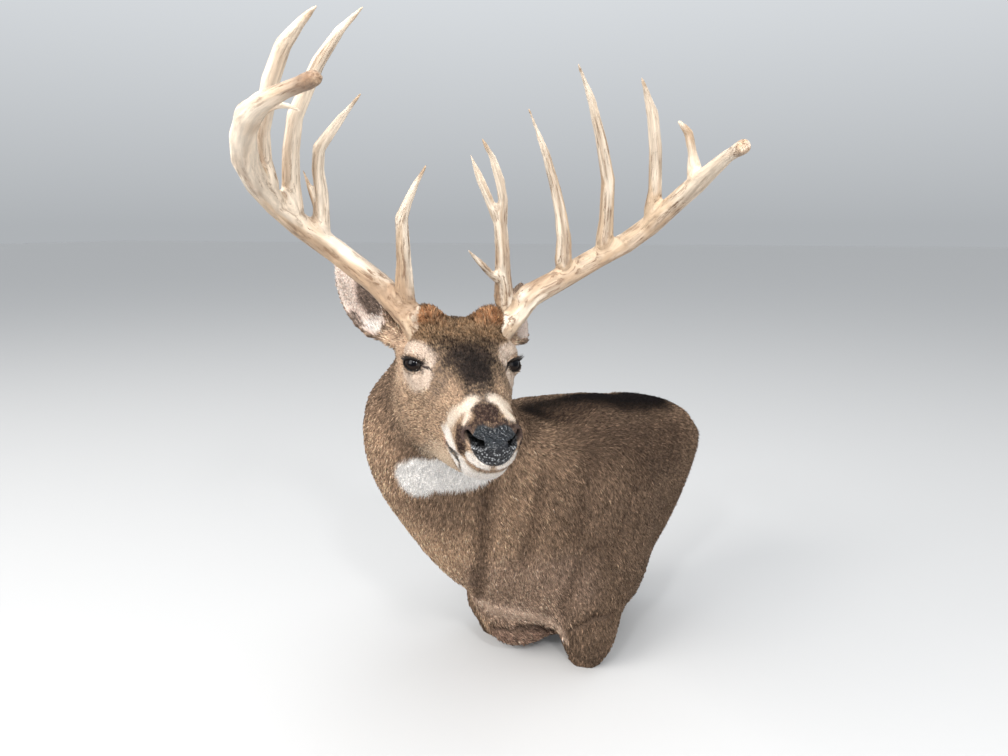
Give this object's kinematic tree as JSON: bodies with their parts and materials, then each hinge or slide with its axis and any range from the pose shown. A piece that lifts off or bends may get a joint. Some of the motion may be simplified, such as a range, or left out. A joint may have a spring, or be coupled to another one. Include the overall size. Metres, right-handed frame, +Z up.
{
  "type": "whitetail buck shoulder mount",
  "caption": "Life-size whitetail deer shoulder mount: turned head with large antlers, neck, chest and foreleg stubs on a plain wooden back board that hangs on a wall.",
  "frame": {"origin": "middle of the back board's wall face, 265 mm above the level of the foreleg stubs' flats", "axes": "+Z up, +Y into the wall, +X along the wall to the right as seen from the room"},
  "size_m": [0.595, 1.0237, 1.0405],
  "materials": {
    "coat": "short dense hair, grey-brown",
    "coat_pale": "short white hair",
    "nose_skin": "dark pebbled nose skin with a wet gloss",
    "eye_glass": "dark glass eye, polished",
    "antler": "antler bone, ivory with brown grooves",
    "wood": "plain sawn board",
    "steel": "plain steel strip"
  },
  "bodies": {
    "root": {"trunk": "coat", "foreleg_right": "coat", "foreleg_left": "coat", "neck": "coat", "head": "coat", "lower_jaw": "coat_pale", "nose": "nose_skin", "eye_right": "eye_glass", "eye_left": "eye_glass", "ear_right": "coat", "ear_left": "coat", "antler_right_beam_1": "antler", "antler_right_beam_2": "antler", "antler_right_beam_3": "antler", "antler_right_tine_1": "antler", "antler_right_tine_2": "antler", "antler_right_tine_3": "antler", "antler_right_tine_4": "antler", "antler_right_tine_5": "antler", "antler_left_beam_1": "antler", "antler_left_beam_2": "antler", "antler_left_beam_3": "antler", "antler_left_tine_1": "antler", "antler_left_tine_2": "antler", "antler_left_tine_3": "antler", "antler_left_tine_4": "antler", "antler_left_tine_5": "antler", "back_board": "wood", "hanger": "steel"}
  },
  "joints": []
}
